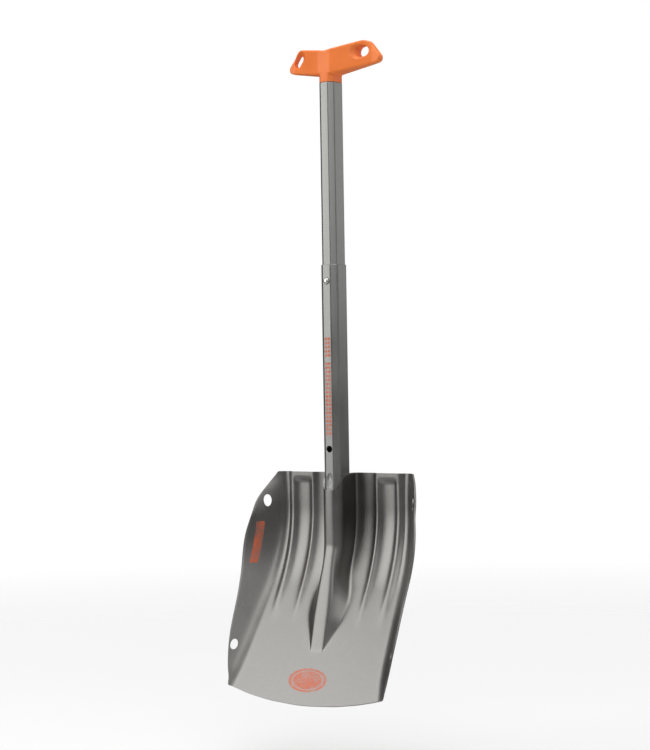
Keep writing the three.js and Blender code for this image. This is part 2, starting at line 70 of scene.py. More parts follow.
# Shaft, buttons, springs and rivet, in millimetres
SHAFT_W = (outer_high.x - outer_low.x) * 1000
SHAFT_D = (outer_high.y - outer_low.y) * 1000
INSET = (outer_high.x - inner_high.x) * 1000
SHAFT_CUT = 6.6
SHAFT_R = 4.0
SHAFT_CORNER_STEPS = 8
UPPER_Z = (upper_low.z + upper_high.z) * 500
LOWER_Z = (lower_low.z + lower_high.z) * 500
TRAVELS = {joint["name"]: joint["range_m"][1] for joint in frame["record"]["behaviour"]["joints"]}
COLLAPSED_Z = UPPER_Z - TRAVELS["telescope"] * 1000
BUTTON_R = 3.9
BUTTON_HOLE_R = BUTTON_R + GAP
BUTTON_FLANGE_R = 5.2
BUTTON_FLANGE = 1.2
BUTTON_PROUD = 2.4
BUTTON_DOME = 1.5
RIVET_Z = -33
RIVET_R = 2.0
RIVET_HEAD_R = 3.9
LEAF_THICKNESS = 0.8
LEAF_HALF_WIDTH = 4.5
LEAF_TIP = 5
LEAF_ARM = 24
LEAF_BEND_R = 3


# --- Small helpers -------------------------------------------------------------------------------

def clamp01(x):
    return min(1.0, max(0.0, x))


def ramp(x, a, b):
    return clamp01((x - a) / (b - a))


def smooth(x, a, b):
    t = ramp(x, a, b)
    return t * t * (3 - 2 * t)


def mix(a, b, t):
    return a + (b - a) * t


def curve_through(points):
    """Cubic through a few (x, value) points, with a flat tangent at every turning point."""
    xs = [p[0] for p in points]
    ys = [p[1] for p in points]
    slopes = [(ys[i + 1] - ys[i]) / (xs[i + 1] - xs[i]) for i in range(len(xs) - 1)]
    tangents = [slopes[0]]
    for a, b in zip(slopes, slopes[1:]):
        tangents.append(0.0 if a * b <= 0 else 2 * a * b / (a + b))
    tangents.append(slopes[-1])

    def value(x):
        if x <= xs[0]:
            return ys[0]
        if x >= xs[-1]:
            return ys[-1]
        i = bisect.bisect_right(xs, x) - 1
        h = xs[i + 1] - xs[i]
        t = (x - xs[i]) / h
        bend = t * (1 - t) * h * (tangents[i] * (1 - t) - tangents[i + 1] * t)
        return mix(ys[i], ys[i + 1], t * t * (3 - 2 * t)) + bend
    return value


def round_corners(corners, radii, steps):
    """Closed outline with every corner rounded to its own radius."""
    points = []
    count = len(corners)
    for i, corner in enumerate(corners):
        corner = Vector(corner)
        back = (Vector(corners[i - 1]) - corner).normalized()
        ahead = (Vector(corners[(i + 1) % count]) - corner).normalized()
        half = math.acos(back.dot(ahead)) / 2
        reach = radii[i] / math.tan(half)
        centre = corner + (back + ahead).normalized() * (radii[i] / math.sin(half))
        start = corner + back * reach - centre
        end = corner + ahead * reach - centre
        turn = math.atan2(start.x * end.y - start.y * end.x, start.dot(end))
        for k in range(steps + 1):
            points.append(centre + Matrix.Rotation(turn * k / steps, 2) @ start)
    return points


def shaft_section(inset):
    """Outline of the shaft's rounded eight-sided section, inset by some millimetres."""
    x = SHAFT_W / 2 - inset
    y = SHAFT_D / 2 - inset
    cut = SHAFT_CUT - inset * (2 - math.sqrt(2))
    corners = [(x, cut - y), (x, y - cut), (x - cut, y), (cut - x, y),
               (-x, y - cut), (-x, cut - y), (cut - x, -y), (x - cut, -y)]
    return round_corners(corners, [max(SHAFT_R - inset, 0.6)] * 8, SHAFT_CORNER_STEPS)


def new_object(name, bm, shade_angle=40):
    bmesh.ops.recalc_face_normals(bm, faces=bm.faces)
    mesh = bpy.data.meshes.new(name)
    bm.to_mesh(mesh)
    bm.free()
    obj = bpy.data.objects.new(name, mesh)
    bpy.context.scene.collection.objects.link(obj)
    shade(obj, shade_angle)
    return obj


def shade(obj, angle):
    mesh = obj.data
    mesh.polygons.foreach_set("use_smooth", [True] * len(mesh.polygons))
    mesh.set_sharp_from_angle(angle=math.radians(angle))


def apply_modifiers(obj):
    """Bakes the modifiers into the object's own mesh."""
    depsgraph = bpy.context.evaluated_depsgraph_get()
    mesh = bpy.data.meshes.new_from_object(obj.evaluated_get(depsgraph))
    obj.modifiers.clear()
    obj.data = mesh
    return obj


def combine(obj, others, operation):
    """Joins others to obj, or cuts them from it, and removes them."""
    for other in others:
        step = obj.modifiers.new("step", "BOOLEAN")
        step.operation = operation
        step.solver = "EXACT"
        step.object = other
    apply_modifiers(obj)
    for other in others:
        bpy.data.objects.remove(other)
    return obj


def subtract(obj, cutters):
    return combine(obj, cutters, "DIFFERENCE")


def unite(obj, other):
    return combine(obj, [other], "UNION")


def round_and_thicken(obj, levels, boundary, side):
    """Turns a coarse open surface into smooth sheet metal on one side of it."""
    rounder = obj.modifiers.new("rounder", "SUBSURF")
    rounder.levels = levels
    rounder.render_levels = levels
    rounder.boundary_smooth = boundary
    thick = obj.modifiers.new("thick", "SOLIDIFY")
    thick.thickness = SHEET * MM
    thick.offset = side
    thick.use_quality_normals = True
    return apply_modifiers(obj)


def bevel(obj, width, segments=2, angle=50):
    mod = obj.modifiers.new("bevel", "BEVEL")
    mod.width = width * MM
    mod.segments = segments
    mod.limit_method = "ANGLE"
    mod.angle_limit = math.radians(angle)
    mod.harden_normals = False
    return apply_modifiers(obj)


def loft(rings, closed_ends=True):
    """Mesh through closed rings of the same number of points."""
    bm = bmesh.new()
    made = [[bm.verts.new(Vector(p) * MM) for p in ring] for ring in rings]
    count = len(rings[0])
    for below, above in zip(made, made[1:]):
        for j in range(count):
            k = (j + 1) % count
            bm.faces.new((below[j], below[k], above[k], above[j]))
    if closed_ends:
        bm.faces.new(made[0][::-1])
        bm.faces.new(made[-1])
    else:
        for j in range(count):
            k = (j + 1) % count
            bm.faces.new((made[-1][j], made[-1][k], made[0][k], made[0][j]))
    return bm


LATHE_STEPS = 48


def lathe_y(profile, z, side):
    """Turned solid along Y from (radius, y) points; side -1 turns it to face -Y."""
    rings = []
    for radius, y in profile:
        ring = []
        for k in range(LATHE_STEPS):
            angle = 2 * math.pi * k / LATHE_STEPS
            ring.append((radius * math.cos(angle), y * side, z + radius * math.sin(angle)))
        rings.append(ring)
    return loft(rings)


def arc(cx, cy, r, a0, a1, steps):
    return [(cx + r * math.cos(math.radians(mix(a0, a1, k / steps))),
             cy + r * math.sin(math.radians(mix(a0, a1, k / steps)))) for k in range(steps + 1)]


# --- Materials -----------------------------------------------------------------------------------

class Nodes:
    """Short way to write one procedural material."""

    def __init__(self, name):
        self.material = bpy.data.materials.new(name)
        self.material.use_nodes = True
        self.tree = self.material.node_tree
        self.shader = self.tree.nodes["Principled BSDF"]
        self.place = self.add("ShaderNodeTexCoord").outputs["Object"]

    def add(self, kind, **values):
        node = self.tree.nodes.new(kind)
        for key, value in values.items():
            setattr(node, key, value)
        return node

    def link(self, source, target):
        self.tree.links.new(source, target)

    def feed(self, socket, value):
        if isinstance(value, bpy.types.NodeSocket):
            self.link(value, socket)
        else:
            socket.default_value = value

    def math(self, operation, a, b=0.0, c=0.0, clamp=False):
        node = self.add("ShaderNodeMath", operation=operation, use_clamp=clamp)
        for socket, value in zip(node.inputs, (a, b, c)):
            self.feed(socket, value)
        return node.outputs[0]

    def stretched(self, scale):
        node = self.add("ShaderNodeMapping")
        self.link(self.place, node.inputs["Vector"])
        node.inputs["Scale"].default_value = scale
        return node.outputs[0]

    def noise(self, scale, detail=4.0, roughness=0.55, stretch=(1, 1, 1)):
        node = self.add("ShaderNodeTexNoise")
        self.link(self.stretched(stretch), node.inputs["Vector"])
        node.inputs["Scale"].default_value = scale
        node.inputs["Detail"].default_value = detail
        node.inputs["Roughness"].default_value = roughness
        return node.outputs["Fac"]

    def spread(self, value, low, high, out_low, out_high):
        node = self.add("ShaderNodeMapRange")
        self.feed(node.inputs["Value"], value)
        node.inputs["From Min"].default_value = low
        node.inputs["From Max"].default_value = high
        node.inputs["To Min"].default_value = out_low
        node.inputs["To Max"].default_value = out_high
        return node.outputs[0]

    def colour(self, fac, a, b):
        node = self.add("ShaderNodeMix", data_type="RGBA")
        self.feed(node.inputs[0], fac)
        self.feed(node.inputs[6], a if isinstance(a, bpy.types.NodeSocket) else (*a, 1))
        self.feed(node.inputs[7], b if isinstance(b, bpy.types.NodeSocket) else (*b, 1))
        return node.outputs[2]

    def bump(self, height, strength, distance):
        node = self.add("ShaderNodeBump")
        self.link(height, node.inputs["Height"])
        node.inputs["Strength"].default_value = strength
        node.inputs["Distance"].default_value = distance
        return node.outputs[0]

    def axes(self):
        node = self.add("ShaderNodeSeparateXYZ")
        self.link(self.place, node.inputs[0])
        return node.outputs


METAL_GRAIN = 900
PLASTIC_GRAIN = 2600


def metal(name, dark, light, rough, grain=(1, 1, 1), scratches=True):
    """Rolled or drawn aluminium: cloudy tone, fine grain along one direction, a few scuffs."""
    n = Nodes(name)
    cloud = n.noise(14, 5, 0.6)
    fine = n.noise(METAL_GRAIN, 3, 0.6, grain)
    tone = n.math("ADD", n.math("MULTIPLY", cloud, 0.6), n.math("MULTIPLY", fine, 0.4))
    base = n.colour(n.spread(tone, 0.35, 0.65, 0, 1), dark, light)
    roughness = n.math("ADD", n.spread(cloud, 0.3, 0.7, rough - 0.04, rough + 0.05),
                       n.spread(fine, 0.3, 0.7, -0.03, 0.03))
    height = fine
    if scratches:
        scuff = n.noise(60, 8, 0.75, (6, 6, 0.7))
        line = n.spread(n.math("ABSOLUTE", n.math("SUBTRACT", scuff, 0.5)), 0.0, 0.006, 1, 0)
        patch = n.spread(n.noise(9, 2), 0.5, 0.62, 0, 1)
        line = n.math("MULTIPLY", line, patch, clamp=True)
        base = n.colour(n.math("MULTIPLY", line, 0.5), base, tuple(min(1, c * 1.5) for c in light))
        roughness = n.math("SUBTRACT", roughness, n.math("MULTIPLY", line, 0.08))
        height = n.math("SUBTRACT", fine, n.math("MULTIPLY", line, 0.6))
    n.link(base, n.shader.inputs["Base Color"])
    n.link(roughness, n.shader.inputs["Roughness"])
    n.link(n.bump(height, 0.12, 0.0002), n.shader.inputs["Normal"])
    n.shader.inputs["Metallic"].default_value = 1.0
    return n, base, roughness


def plastic(name, dark, light, rough):
    """Moulded plastic: fine spark-eroded grain over a faintly uneven colour."""
    n = Nodes(name)
    cloud = n.noise(25, 4)
    grain = n.noise(PLASTIC_GRAIN, 2, 0.5)
    n.link(n.colour(n.spread(cloud, 0.35, 0.65, 0, 1), dark, light), n.shader.inputs["Base Color"])
    n.link(n.spread(grain, 0.3, 0.7, rough - 0.06, rough + 0.06), n.shader.inputs["Roughness"])
    n.link(n.bump(grain, 0.25, 0.00012), n.shader.inputs["Normal"])
    return n


# Plain orange prints: places and sizes in metres
PRINT = (0.62, 0.115, 0.035)
BAR_X = -0.0897
BAR_Z = -0.6100
BAR_LEAN = 0.05
BAR_HALF = (0.0032, 0.026)
OVAL_Z = -0.773
OVAL_HALF = (0.029, 0.0135)
DASH_PITCH = 0.0026
DASH_HALF = 0.0017
DASH_ROW_X = 0.0023
DASH_RUNS = ((-0.3590, 0.0125), (-0.4250, 0.0465))  # middle and half length of each run


def near(n, value, centre, half, soft):
    """1 within half of centre, fading to 0 over soft."""
    away = n.math("ABSOLUTE", n.math("SUBTRACT", value, centre))
    return n.spread(away, half, half + soft, 1, 0)


def facing(n, low, high):
    """1 where the surface faces the front."""
    node = n.add("ShaderNodeSeparateXYZ")
    n.link(n.add("ShaderNodeTexCoord").outputs["Normal"], node.inputs[0])
    return n.spread(n.math("MULTIPLY", node.outputs[1], -1), low, high, 0, 1)


def printed(n, base, roughness, mask):
    """Lays a worn orange print over the metal where mask is 1."""
    worn = n.spread(n.noise(420, 6, 0.7), 0.36, 0.50, 0.15, 0.95)
    patchy = n.spread(n.noise(70, 3), 0.35, 0.55, 0.5, 1)
    mask = n.math("MULTIPLY", mask, n.math("MULTIPLY", worn, patchy), clamp=True)
    n.link(n.colour(mask, base, PRINT), n.shader.inputs["Base Color"])
    n.link(n.math("SUBTRACT", 1, mask), n.shader.inputs["Metallic"])
    n.link(n.math("MULTIPLY_ADD", mask, 0.15, roughness), n.shader.inputs["Roughness"])


def print_blade(n, base, roughness):
    """A plain bar on the left flange and a plain oval with a thin inner ring on the lip."""
    x, _, z = n.axes()
    across = n.math("SUBTRACT", x, n.math("MULTIPLY", z, BAR_LEAN))
    bar = near(n, across, BAR_X, BAR_HALF[0], 0.0006)
    bar = n.math("MULTIPLY", bar, near(n, z, BAR_Z, BAR_HALF[1], 0.0008))
    u = n.math("DIVIDE", x, OVAL_HALF[0])
    v = n.math("DIVIDE", n.math("SUBTRACT", z, OVAL_Z), OVAL_HALF[1])
    radius = n.math("SQRT", n.math("ADD", n.math("MULTIPLY", u, u), n.math("MULTIPLY", v, v)))
    oval = n.spread(radius, 0.98, 1.02, 1, 0)
    ring = near(n, radius, 0.80, 0.035, 0.02)
    oval = n.math("MULTIPLY", n.math("SUBTRACT", oval, n.math("MULTIPLY", ring, 0.8), clamp=True), 0.75)
    mask = n.math("MULTIPLY", n.math("MAXIMUM", bar, oval), facing(n, 0.1, 0.3))
    printed(n, base, roughness, mask)


def print_tube(n, base, roughness):
    """Two rows of plain dashes down the front facet of the lower tube."""
    x, _, z = n.axes()
    rows = near(n, n.math("ABSOLUTE", x), DASH_ROW_X, DASH_HALF, 0.0003)
    length = n.math("MAXIMUM", *(near(n, z, *run, 0.0004) for run in DASH_RUNS))
    dashes = near(n, n.math("PINGPONG", z, DASH_PITCH), 0, DASH_HALF, 0.0003)
    broken = n.math("MULTIPLY", dashes, facing(n, 0.9, 0.95))
    mask = n.math("MULTIPLY", n.math("MULTIPLY", length, rows), broken)
    printed(n, base, roughness, mask)


blade_paint = metal("blade_metal", (0.19, 0.186, 0.178), (0.25, 0.245, 0.234), 0.33)
tube_paint = metal("tube_metal", (0.235, 0.237, 0.226), (0.30, 0.302, 0.289), 0.37, (1, 1, 0.02))
print_blade(*blade_paint)
print_tube(*tube_paint)
MATERIALS = {
    "blade": blade_paint[0].material,
    "tube": tube_paint[0].material,
    "steel": metal("button_steel", (0.62, 0.62, 0.60), (0.72, 0.72, 0.70), 0.22)[0].material,
    "weld": metal("weld_bead", (0.34, 0.34, 0.33), (0.48, 0.48, 0.46), 0.42, scratches=False)[0].material,
    "grip": plastic("grip_orange", (0.88, 0.195, 0.028), (0.96, 0.228, 0.040), 0.45).material,
    "plug": plastic("plug_black", (0.012, 0.012, 0.012), (0.02, 0.02, 0.02), 0.6).material,
}


def dress(obj, material, body, replaced):
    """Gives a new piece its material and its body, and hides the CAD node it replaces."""
    obj.data.materials.clear()
    obj.data.materials.append(MATERIALS[material])
    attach(obj, body)
    if replaced:
        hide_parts(replaced)


# --- Blade ---------------------------------------------------------------------------------------

BLADE_TOP = blade_high.z * 1000
FLOOR_Y = 19.0
STRAIGHT = 45.0
BEND_R = 200.0
LIFT = math.radians(30)
FLOOR_LENGTH = 308.5
HALF_WIDTHS = (96.5, 115)
EDGE_SAG = 15.6
FLANGE_BEND_R = (13.0, 22.0)
flange_width = curve_through([(0, 10), (45, 42), (95, 50.5), (180, 36), (230, 27), (268, 15), (292, 3.5)])
flange_lean = curve_through([(0, 60), (25, 46), (60, 39), (150, 39.5), (235, 42), (268, 47), (292, 62)])
RIB_HEIGHT = 3.6
RIB_RAMP = 3.6
BAND = (44.4, 89.5)
BAND_FADE = (118, 205)
POCKET = (52.7, 79.6)
POCKET_START = (6.5, 12.5)
RIDGE_FRONT_Y = -(SHAFT_D / 2 + GAP + SHEET)
RIDGE_SIDE_X = SHAFT_W / 2 + GAP + SHEET
RIDGE_FOOT_X = 18.0
RIDGE_STRAIGHT = 92.0
RIDGE_END = 236.0
RIDGE_OPENING = (98, 150)
MOUTH_CUT = 21.0
MOUTH_DEPTH = 0.65
ROPE_HOLES = ((38, 24, 5.0, 7.4), (241, 17, 4.5, 6.6))  # down, across the flange, half across, half along


def floor_at(s):
    """Place and lean of the blade's floor, at a distance s down along it from its top edge."""
    lean = clamp01((s - STRAIGHT) / (BEND_R * LIFT)) * LIFT
    lip = max(0.0, s - STRAIGHT - BEND_R * LIFT)
    y = FLOOR_Y - BEND_R * (1 - math.cos(lean)) - lip * math.sin(lean)
    z = BLADE_TOP - min(s, STRAIGHT) - BEND_R * math.sin(lean) - lip * math.cos(lean)
    return y, z, lean


def blade_point(s, x, rise):
    """Point at a distance s down, x to the side and rise in front of the blade's floor."""
    y, z, lean = floor_at(s)
    return Vector((x, y - rise * math.cos(lean), z + rise * math.sin(lean)))


def half_width(s):
    return mix(*HALF_WIDTHS, (s / FLOOR_LENGTH) ** 1.5)


def rib_rise(x, s):
    band = ramp(x, BAND[0], BAND[0] + RIB_RAMP) * ramp(x, BAND[1], BAND[1] - RIB_RAMP)
    pocket = (ramp(x, POCKET[0], POCKET[0] + RIB_RAMP) * ramp(x, POCKET[1], POCKET[1] - RIB_RAMP)
              * ramp(s, *POCKET_START))
    return RIB_HEIGHT * band * (1 - pocket) * (1 - smooth(s, *BAND_FADE))


def crest_rise(s):
    """Height of the hollow centre ridge's crest over the floor."""
    y, z, lean = floor_at(s)
    straight = (y - RIDGE_FRONT_Y) / math.cos(lean)
    knee = BLADE_TOP - RIDGE_STRAIGHT
    if z + straight * math.sin(lean) >= knee:
        return straight
    end_y, end_z, _ = floor_at(RIDGE_END)
    fall = (RIDGE_FRONT_Y - end_y) / (knee - end_z)
    return max(0.0, (y - RIDGE_FRONT_Y + fall * (knee - z)) / (math.cos(lean) + fall * math.sin(lean)))


RIDGE_SIDE = [
    (0, 0, None),
    (SHAFT_W / 2 - SHAFT_CUT + (GAP + SHEET) * (math.sqrt(2) - 1), 0, None),
    ((RIDGE_SIDE_X + 7.1) / 2, 4, None),
    (RIDGE_SIDE_X, 8, None),
    (RIDGE_SIDE_X + 0.3, None, 0.5),
    (RIDGE_SIDE_X + 0.8, None, 0.16),
    (RIDGE_SIDE_X + 1.6, None, 0.05),
    (RIDGE_FOOT_X, None, 0),
]


crest_half_width = curve_through([(92, 7.1), (140, 9), (176, 10), (236, 8.5)])
foot_half_width = curve_through([(112, 18), (138, 21), (172, 28.5), (188, 27.5), (216, 17.5), (236, 9.5)])


def ridge_point(s, column):
    """One point of the ridge: a channel round the shaft at the top, opening into a wedge below."""
    side_x, below, share = RIDGE_SIDE[column]
    crest = crest_rise(s)
    opening = smooth(s, *RIDGE_OPENING)
    down = max(0, column - 1) / (len(RIDGE_SIDE) - 2)
    open_x = 0 if column == 0 else mix(crest_half_width(s), foot_half_width(s), down)
    channel = crest - below if share is None else crest * share
    return mix(side_x, open_x, opening), mix(channel, crest * (1 - down), opening)


def flange_bend(s):
    return mix(*FLANGE_BEND_R, clamp01(s / FLOOR_LENGTH))


def blade_section(s):
    """Right half of the blade's section, from the crest through the ribs to the flange's edge."""
    section = [ridge_point(s, column) for column in range(len(RIDGE_SIDE))]
    corner = half_width(s)
    turn = math.radians(90 - flange_lean(s))
    bend = flange_bend(s)
    reach = bend * math.tan(turn / 2)
    edges = [BAND[0], BAND[0] + RIB_RAMP, POCKET[0], POCKET[0] + RIB_RAMP,
             POCKET[1] - RIB_RAMP, POCKET[1], BAND[1] - RIB_RAMP, BAND[1]]
    squeeze = min(1.0, (corner - reach - 0.6) / BAND[1])
    section += [(x * squeeze, rib_rise(x, s)) for x in edges]
    for k in range(5):
        angle = turn * k / 4
        section.append((corner - reach + bend * math.sin(angle), bend * (1 - math.cos(angle))))
    width = max(flange_width(s), reach + 1)
    for k in range(1, 4):
        across = mix(reach, width, k / 3)
        section.append((corner + across * math.cos(turn), across * math.sin(turn)))
    return section


def blade_rows():
    rows = []
    s = 0.0
    while s < FLOOR_LENGTH - 0.1:
        rows.append(s)
        s += 2.0 if s < 15 else 5.0
    return rows + [FLOOR_LENGTH]


def make_blade():
    top = blade_section(0)
    ends = blade_section(FLOOR_LENGTH)
    columns = len(top)
    crest = crest_rise(0)
    bm = bmesh.new()
    grid = []
    for step in blade_rows():
        row = []
        for column in range(columns):
            start = 0
            if column < len(RIDGE_SIDE):
                start = MOUTH_CUT * smooth(top[column][1] / crest, MOUTH_DEPTH, 1)
            side = min(ends[column][0] / HALF_WIDTHS[1], 1)
            past = max(0, column - (columns - 5)) / 4
            end = FLOOR_LENGTH - EDGE_SAG * side ** 2 - 5 * past ** 2
            s = mix(start, end, step / FLOOR_LENGTH)
            x, rise = blade_section(s)[column]
            row.append(blade_point(s, x, rise))
        full = [Vector((-p.x, p.y, p.z)) for p in row[:0:-1]] + row
        grid.append([bm.verts.new(p * MM) for p in full])
    for above, below in zip(grid, grid[1:]):
        for j in range(len(above) - 1):
            bm.faces.new((above[j], below[j], below[j + 1], above[j + 1]))
    bmesh.ops.recalc_face_normals(bm, faces=bm.faces)
    middle = min(bm.faces, key=lambda f: (f.calc_center_median() - Vector((0.06, 0, -0.6))).length)
    if middle.normal.y > 0:
        bmesh.ops.reverse_faces(bm, faces=bm.faces)
    mesh = bpy.data.meshes.new("blade_sheet")
    bm.to_mesh(mesh)
    bm.free()
    obj = bpy.data.objects.new("blade_sheet", mesh)
    bpy.context.scene.collection.objects.link(obj)
    round_and_thicken(obj, 2, "ALL", -1)
    bevel(obj, 0.45, 2, 60)
    subtract(obj, [rope_hole(*hole, side) for side in (-1, 1) for hole in ROPE_HOLES])
    shade(obj, 40)
    return obj


def rope_hole(s, across, half_across, half_along, side):
    """Cutter for an oval rope hole, slightly wider at both faces of the sheet."""
    turn = math.radians(90 - flange_lean(s))
    centre = blade_point(s, half_width(s) + across * math.cos(turn), across * math.sin(turn))
    lean = floor_at(s)[2]
    along = Vector((0, -math.sin(lean), -math.cos(lean)))
    outward = Vector((math.cos(turn), -math.sin(turn) * math.cos(lean), math.sin(turn) * math.sin(lean)))
    through = along.cross(outward).normalized()
    along = outward.cross(through)
    rings = []
    for height, grow in ((-9, 5.0), (-SHEET - 0.2, 0.3), (-SHEET + 0.2, 0), (-0.2, 0), (0.2, 0.3), (6, 5.0)):
        ring = []
        for k in range(56):
            angle = 2 * math.pi * k / 56
            p = (centre + outward * ((half_across + grow) * math.cos(angle))
                 + along * ((half_along + grow) * math.sin(angle)) + through * -height)
            ring.append((p.x * side, p.y, p.z))
        rings.append(ring)
    return new_object("cutter", loft(rings))


# --- Rear plate ----------------------------------------------------------------------------------

def make_plate():
    half = plate_high.x * 1000
    start, end = 3.0, 88.0
    xs = [-half, -half + 1.5, -20.5, -16.5, -14.7, -12.8, -11, -5.5, 0,
          5.5, 11, 12.8, 14.7, 16.5, 20.5, half - 1.5, half]
    bm = bmesh.new()
    grid = []
    for i in range(29):
        s = mix(start, end, i / 28)
        y = floor_at(s)[0]
        row = []
        for x in xs:
            wing = blade_point(s, x, -(SHEET + GAP))
            pressed = smooth(abs(x), 16.5, 11)
            wing.y = mix(wing.y, min(SHAFT_D / 2 + GAP, y + SHEET + GAP), pressed)
            row.append(bm.verts.new(wing * MM))
        grid.append(row)
    for above, below in zip(grid, grid[1:]):
        for j in range(len(above) - 1):
            bm.faces.new((above[j], above[j + 1], below[j + 1], below[j]))
    obj = new_object("rear_plate", bm)
    if obj.data.polygons[0].normal.y < 0:
        obj.data.flip_normals()
    round_and_thicken(obj, 1, "PRESERVE_CORNERS", 1)
    bevel(obj, 0.4, 2, 60)
    rim = BUTTON_HOLE_R + 0.7
    profile = [(BUTTON_HOLE_R, 10), (BUTTON_HOLE_R, 17.9), (rim, 18.7), (rim, 30)]
    hole = new_object("cutter", lathe_y(profile, LOWER_Z, 1))
    subtract(obj, [hole])
    shade(obj, 40)
    return obj


# --- Shaft ---------------------------------------------------------------------------------------

def dent(z, half_width, half_height, depth):
    """Cutter for a shallow oval dent in the front facet of the outer tube."""
    rings = []
    for angle, lift in [(7.5 * k, 0) for k in range(1, 13)] + [(90, 2)]:
        grow = math.sin(math.radians(angle))
        y = depth * math.cos(math.radians(angle)) - SHAFT_D / 2 - lift
        rings.append([(half_width * grow * math.cos(a * math.pi / 16), y,
                       z + half_height * grow * math.sin(a * math.pi / 16)) for a in range(32)])
    return new_object("cutter", loft(rings))


def make_tube(name, inset, low, high, holes, dents=()):
    """Tube with broken edges at both ends and bores that are slightly worn round their rims."""
    rings = []
    for z, grow in ((low, 0.35), (low + 0.35, 0), (high - 0.35, 0), (high, 0.35)):
        rings.append([(p.x, p.y, z) for p in shaft_section(inset + grow)])
    for z, grow in ((high, -0.25), (high - 0.25, 0), (low + 0.25, 0), (low, -0.25)):
        rings.append([(p.x, p.y, z) for p in shaft_section(inset + WALL + grow)])
    tube = new_object(name, loft(rings, closed_ends=False))
    face = SHAFT_D / 2 - inset
    cutters = []
    for z, side, radius in holes:
        profile = [(radius, 3), (radius, face - 0.3), (radius + 0.35, face + 0.05), (radius + 0.35, face + 9)]
        cutters.append(new_object("cutter", lathe_y(profile, z, side)))
    subtract(tube, cutters + [dent(*place) for place in dents])
    shade(tube, 30)
    return tube


def make_button(name, base, outer_face, z, side):
    """Turned button: a flange with a broken edge, a shank and a domed end."""
    top = base + BUTTON_FLANGE
    tip = outer_face + BUTTON_PROUD
    shoulder = tip - BUTTON_DOME
    profile = [(0.01, base), (BUTTON_FLANGE_R - 0.3, base), (BUTTON_FLANGE_R, base + 0.3),
               (BUTTON_FLANGE_R, top - 0.3), (BUTTON_FLANGE_R - 0.3, top), (BUTTON_R, top),
               (BUTTON_R, shoulder)]
    for degrees in (15, 30, 45, 60, 75, 88):
        angle = math.radians(degrees)
        profile.append((BUTTON_R * math.cos(angle), shoulder + BUTTON_DOME * math.sin(angle)))
    profile.append((0.01, tip))
    return new_object(name, lathe_y(profile, z, side), 35)


def make_spring(name, node, side):
    """V-shaped leaf spring: one arm behind the button, a bend below it and one arm on the far wall."""
    low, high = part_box(node)
    near_arm = (high.y if side > 0 else -low.y) * 1000 - LEAF_THICKNESS / 2
    far_arm = (high.y - low.y) * 1000 - near_arm - LEAF_THICKNESS
    button_z = high.z * 1000 - LEAF_TIP
    path = [(near_arm, LEAF_TIP), (near_arm, 0), (near_arm, -6)]
    path += [(mix(near_arm, LEAF_BEND_R, k / 5), mix(-6, -LEAF_ARM, k / 5)) for k in range(1, 5)]
    path += arc(0, -LEAF_ARM, LEAF_BEND_R, 0, -180, 14)
    path += [(mix(-LEAF_BEND_R, -far_arm, k / 5), mix(-LEAF_ARM, -4, k / 5)) for k in range(1, 5)]
    path += [(-far_arm, -4), (-far_arm, 0), (-far_arm, LEAF_TIP)]
    rings = []
    for i, (across, up) in enumerate(path):
        ahead = Vector(path[min(i + 1, len(path) - 1)]) - Vector(path[max(i - 1, 0)])
        out = Vector((ahead.y, -ahead.x)).normalized() * LEAF_THICKNESS
        half = LEAF_HALF_WIDTH - 1.1 if i in (0, len(path) - 1) else LEAF_HALF_WIDTH
        rings.append([(x, side * (across + out.x * face), button_z + up + out.y * face)
                      for x, face in ((-half, -0.5), (half, -0.5), (half, 0.5), (-half, 0.5))])
    spring = bevel(new_object(name, loft(rings)), 0.12, 2, 60)
    shade(spring, 40)
    return spring, side * near_arm * MM, -side * far_arm * MM


# --- Grip ----------------------------------------------------------------------------------------

NECK_Z = (inner_high.z * 1000) + GAP
WING_CORNERS = [(0, 17.3), (54, 28.2), (77, -0.5), (12, -12.8), (-12, -13.3), (-74.5, -2.5), (-51, 25.4)]
WING_RADII = [14, 12, 6, 6, 6, 6, 12]
WING_ROOT_X = 9
WING_END_X = 60
WING_HALF_DEPTH = (13, 5)
WING_BACK_Y = (11, 14.5)
FLAT_HALF_DEPTH = 6.75
STRAP_SLOT = (-52.5, 10.5, 10, 17.5, -0.63, 2.2)  # x, z, width, length, turn, flare
HANG_HOLE = (48, 13, 14, 17, -1.37, 0.8)


def wing_depth(x):
    """Half of the wings' depth and the middle of it, at a distance x to the side."""
    out = ramp(abs(x), WING_ROOT_X, WING_END_X)
    half = mix(*WING_HALF_DEPTH, out)
    return half, mix(*WING_BACK_Y, out) - half


def prism_y(outline, low, high):
    return loft([[(x, y, z) for x, z in outline] for y in (low, high)])


def prism_z(outline, heights):
    return loft([[(p.x, p.y, z) for p in outline] for z in heights])


def long_hole(x, z, width, length, turn, flare):
    """Cutter for a long round-ended hole along Y, opened out by flare at both faces of a wing."""
    straight = (length - width) / 2
    half, middle = wing_depth(x)
    rings = []
    for y, grow in ((-half - 20, flare + 20), (-half + flare, 0), (half - flare, 0), (half + 20, flare + 20)):
        ring = []
        for k in range(64):
            angle = 2 * math.pi * (k + 0.5) / 64
            radius = width / 2 + max(0, grow)
            point = Vector((radius * math.cos(angle),
                            radius * math.sin(angle) + math.copysign(straight, math.sin(angle))))
            point = Matrix.Rotation(turn, 2) @ point
            ring.append((point.x + x, y + middle, point.y + z))
        rings.append(ring)
    return new_object("cutter", loft(rings))


def remesh(obj, size, smoothing):
    """Welds overlapping solids into one skin and rounds its edges."""
    skin = obj.modifiers.new("skin", "REMESH")
    skin.mode = "VOXEL"
    skin.voxel_size = size * MM
    if smoothing:
        soft = obj.modifiers.new("soft", "SMOOTH")
        soft.factor = 0.5
        soft.iterations = smoothing
    return apply_modifiers(obj)


